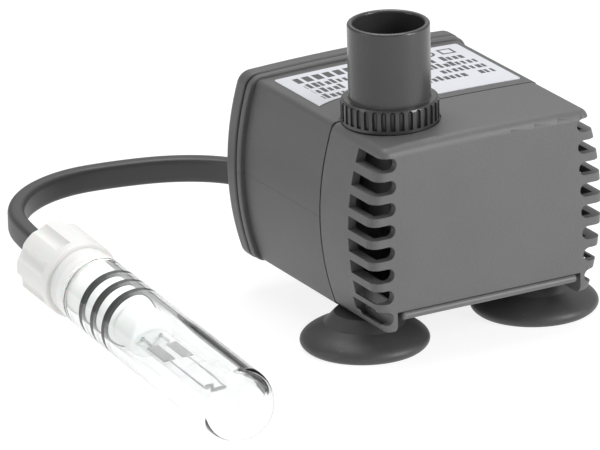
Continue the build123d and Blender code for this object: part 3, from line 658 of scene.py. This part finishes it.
# %% Dress the CAD pieces
FINISHES = {
    body_plastic: ("intake_cover", "volute_cover"),
    housing_plastic: ("motor_housing",),
    rear_plastic: ("rear_cover",),
    slide_plastic: ("flow_slide",),
    nozzle_plastic: ("outlet_nozzle",),
    label_finish: ("rating_label",),
    cup_rubber: ("suction_cup_left", "suction_cup_right", "suction_cup_rear"),
    gland_rubber: ("lamp_lead_gland", "supply_lead_gland", "lead_grommet"),
    seal_rubber: ("rear_seal", "volute_seal", "nozzle_seal", "front_bush", "rear_bush",
                  "lamp_seal_1", "lamp_seal_2", "lamp_seal_3"),
    lamination_steel: ("stator_core",),
    copper_wire: ("coil_winding",),
    potting_resin: ("potting_resin",),
    bobbin_nylon: ("coil_bobbin",),
    magnet_ferrite: ("rotor_magnet",),
    running_plastic: ("impeller", "rotor_sleeve"),
    shaft_ceramic: ("rotor_shaft",),
    cap_plastic: ("lamp_cap",),
    plug_plastic: ("lamp_plug",),
    socket_ceramic: ("lamp_socket",),
    lens_glass: ("lamp_lens",),
    bulb_quartz: ("bulb_envelope",),
    bulb_foil: ("bulb_foil_left", "bulb_foil_right"),
    contact_metal: ("bulb_pin_left", "bulb_pin_right", "socket_contact_left", "socket_contact_right"),
    filament_wire: ("bulb_filament", "bulb_support_left", "bulb_support_right"),
    lead_pvc: ("lamp_lead",),
}
for finish, names in FINISHES.items():
    for name in names:
        node = frame["nodes"][name]
        if not node.material_slots:
            node.data.materials.append(None)
        node.material_slots[0].link = "OBJECT"
        node.material_slots[0].material = finish
print("dressed", sum(len(names) for names in FINISHES.values()), "nodes")

# %% [markdown]
# ## The lamp's fine pieces
#
# Glass shows every facet, so the lens, its seals, the bulb and the filament are made finer than the CAD
# model's. All are drawn about the lamp's own axis, with heights measured from the centre of
# the dome back towards the cap. The real seals are pressed flat against the glass, which is what makes
# them look as wide as the tube from outside, so each one's outer face reaches just into the wall.

# %% The lamp's fine pieces
LAMP_ORIGIN = Vector((-64.13, -44.15, 7.3)) * MM
LENS_OUTER = 7.3 * MM
LENS_BORE = 5.8 * MM
LENS_RIM = 53.7 * MM
RIM_ROUND = 0.3 * MM
SEAL_PLACES = (38.8 * MM, 43.15 * MM, 47.5 * MM)
SEAL_RING = 4.85 * MM
SEAL_SECTION = 1.12 * MM
SEAL_REACH = 5.84 * MM
BULB_RADIUS = 4.3 * MM
BULB_CENTRE = 5.0 * MM
BULB_SHOULDER = (9.0 * MM, 15.5 * MM)
BULB_END = 30.9 * MM
BULB_STEPS = 60
PINCH_HALF = (3.8 * MM, 1.45 * MM)
COIL_HEIGHT = 7.4 * MM
COIL_HALF = 1.75 * MM
COIL_TURNS = 11
COIL_RADIUS = 0.4 * MM
WIRE_RADIUS = 0.09 * MM

lamp_forward = Vector(joints["lens_pull"]["axis"]).normalized()
lamp_across = lamp_forward.cross(Vector((0, 0, 1))).normalized()
lamp_up = lamp_across.cross(lamp_forward)
lamp_axes = Matrix((lamp_across, lamp_up, -lamp_forward)).transposed()
lamp_place = Matrix.Translation(LAMP_ORIGIN) @ lamp_axes.to_4x4()


def quarter(radius, centre, steps=28):
    """A quarter circle from the axis out to its radius, ahead of its centre."""
    angle = np.linspace(0, math.pi / 2, steps)
    return np.stack([radius * np.sin(angle), centre - radius * np.cos(angle)], axis=1)


rim_foot = LENS_RIM - 2 * RIM_ROUND
lens_rim = eased([(LENS_OUTER, rim_foot, 0), (LENS_OUTER, LENS_RIM, RIM_ROUND),
                  (LENS_BORE, LENS_RIM, RIM_ROUND), (LENS_BORE, rim_foot, 0)])
lens_profile = np.concatenate([quarter(LENS_OUTER, 0.0), lens_rim, quarter(LENS_BORE, 0.0)[::-1]])
lens_mesh = grid_mesh("lens", turned_points(lens_profile, lamp_place, turns=128))
lens = piece("lens", lens_mesh, lens_glass, "lamp_lens", ["lamp_lens"], sharp=60)


def pressed_ring(place):
    """An O-ring's section, cut flat where it meets the glass: radius = min(ring + section cos a, reach)."""
    angle = np.linspace(0, 2 * math.pi, 40, endpoint=False)
    radius = np.minimum(SEAL_RING + SEAL_SECTION * np.cos(angle), SEAL_REACH)
    profile = np.stack([radius, place + SEAL_SECTION * np.sin(angle)], axis=1)
    return turned_points(profile, lamp_place, turns=96)


for number, place in enumerate(SEAL_PLACES, start=1):
    ring_mesh = grid_mesh("ring", pressed_ring(place), along_ring=True)
    name = f"pressed_seal_{number}"
    ring = piece(name, ring_mesh, seal_rubber, "pump_body", [f"lamp_seal_{number}"], sharp=60)


def bulb_points():
    """The bulb's outside: a dome and a tube drawn into a flat pinch. From the shoulder's start to its end
    both half widths ease from the tube's radius to the pinch's, by t^2 (3 - 2 t)."""
    dome = quarter(BULB_RADIUS, BULB_CENTRE)
    start, end = BULB_SHOULDER
    heights = np.concatenate([dome[:, 1], np.linspace(start, BULB_END, BULB_STEPS), [BULB_END]])
    t = np.clip((heights - start) / (end - start), 0, 1)
    blend = t * t * (3 - 2 * t)
    round_radius = np.concatenate([dome[:, 0], np.full(BULB_STEPS, BULB_RADIUS), [0.0]])
    wide, thin = [round_radius + blend * (half - BULB_RADIUS) * (round_radius > 0) for half in PINCH_HALF]
    angle = np.linspace(0, 2 * math.pi, 96, endpoint=False)
    local = np.stack([wide[:, None] * np.cos(angle), thin[:, None] * np.sin(angle),
                      heights[:, None] + 0 * angle], axis=-1)
    return moved(local, lamp_place)


bulb = piece("bulb", grid_mesh("bulb", bulb_points()), bulb_quartz, "pump_body", ["bulb_envelope"], sharp=60)


def coil_points():
    """The filament's wire: a helix about an axis across the bulb."""
    turn = np.linspace(0, 2 * math.pi * COIL_TURNS, COIL_TURNS * 20)
    across = np.linspace(-COIL_HALF, COIL_HALF, len(turn))
    height = COIL_HEIGHT + COIL_RADIUS * np.sin(turn)
    helix = np.stack([across, COIL_RADIUS * np.cos(turn), height], axis=1)
    angle = np.linspace(0, 2 * math.pi, 8, endpoint=False)
    wire = WIRE_RADIUS * np.stack([np.cos(angle), np.sin(angle)], axis=1)
    return capped(swept_points(moved(helix, lamp_place), wire, lamp_across))


coil = piece("filament", grid_mesh("filament", coil_points()), filament_wire, "pump_body", ["bulb_filament"])

# %% [markdown]
# ## The lead
#
# A flat lead is two wires side by side in one sheath, with rounded edges. Its section is swept along
# the route with its wide side upright, as it leaves the gland, and both ends are closed because
# they only show if the cap is pulled back.

# %% The lead
half_thick, half_wide = LEAD_THICKNESS / 2, LEAD_WIDTH / 2
lead_corners = [
    (half_thick, -half_wide, LEAD_CORNER), (half_thick, half_wide, LEAD_CORNER),
    (-half_thick, half_wide, LEAD_CORNER), (-half_thick, -half_wide, LEAD_CORNER),
]
lead_section = eased(lead_corners, steps=8, closed=True)
lead_points = capped(swept_points(lead_path, lead_section, (0, 0, 1)))
lead = piece("lead", grid_mesh("lead", lead_points), lead_pvc, "pump_body", ["lamp_lead"], sharp=60)

# %% [markdown]
# ## Floor and light
#
# The floor is a sheet lit mostly from below, as on a light table, so that shadows on it are faint
# and the undersides of round shapes catch some light. The room above it is dimmer, so upright
# faces shade from light at the foot to darker at the top. One large soft light hangs overhead, a
# key stands ahead to the right, a weak light behind catches the upper edges, and two low panels draw
# bands down the nozzle. None of them is seen by the camera, so that every view shows the same
# empty studio.

# %% Floor and light
FLOOR_HALF = 4.0
FLOOR_GLOW = 0.84
ROOM_GLOW = 0.42
PUMP_MIDDLE = (0, 0, 0.025)
SOFTBOXES = {
    "key": ((0.45, -0.75, 0.45), 0.35, 4.5),
    "top": ((0.05, 0.20, 0.85), 0.60, 5.5),
    "behind": ((0.45, 0.80, 0.60), 0.60, 0.6),
    "low right": ((0.20, -0.30, 0.07), 0.13, 0.30),
    "low left": ((-0.32, 0.02, 0.10), 0.16, 0.16),
}


def pale_floor():
    """A pale sheet that gives off most of its light itself."""
    finish = Finish("studio floor")
    cloud = finish.noise(3.0, detail=2.0)
    colour = finish.mix(cloud, grey(0.20), grey(0.22))
    return finish.done(
        Base_Color=colour, Roughness=0.9, Emission_Color=grey(1.0), Emission_Strength=FLOOR_GLOW,
    )


floor_mesh = bpy.data.meshes.new("floor")
floor_corners = [(-FLOOR_HALF, -FLOOR_HALF, 0), (FLOOR_HALF, -FLOOR_HALF, 0),
                 (FLOOR_HALF, FLOOR_HALF, 0), (-FLOOR_HALF, FLOOR_HALF, 0)]
floor_mesh.from_pydata(floor_corners, [], [(0, 1, 2, 3)])
floor_mesh.materials.append(pale_floor())
floor = bpy.data.objects.new("floor", floor_mesh)
bpy.context.scene.collection.objects.link(floor)

world = bpy.data.worlds.new("studio")
world.use_nodes = True
background = world.node_tree.nodes["Background"]
background.inputs["Color"].default_value = grey(1.0)
background.inputs["Strength"].default_value = ROOM_GLOW
bpy.context.scene.world = world
bpy.context.scene.view_settings.view_transform = "Standard"


def softbox(name, place, size, power):
    """A square area light that looks at the pump's middle."""
    light = bpy.data.lights.new(name, "AREA")
    light.shape = "SQUARE"
    light.size = size
    light.energy = power
    lamp = bpy.data.objects.new(name, light)
    lamp.location = place
    aim = Vector(PUMP_MIDDLE) - Vector(place)
    lamp.rotation_mode = "QUATERNION"
    lamp.rotation_quaternion = aim.to_track_quat("-Z", "Y")
    lamp.visible_camera = False
    bpy.context.scene.collection.objects.link(lamp)


for name, (place, size, power) in SOFTBOXES.items():
    softbox(name, place, size, power)
print("lights", len(bpy.data.lights))
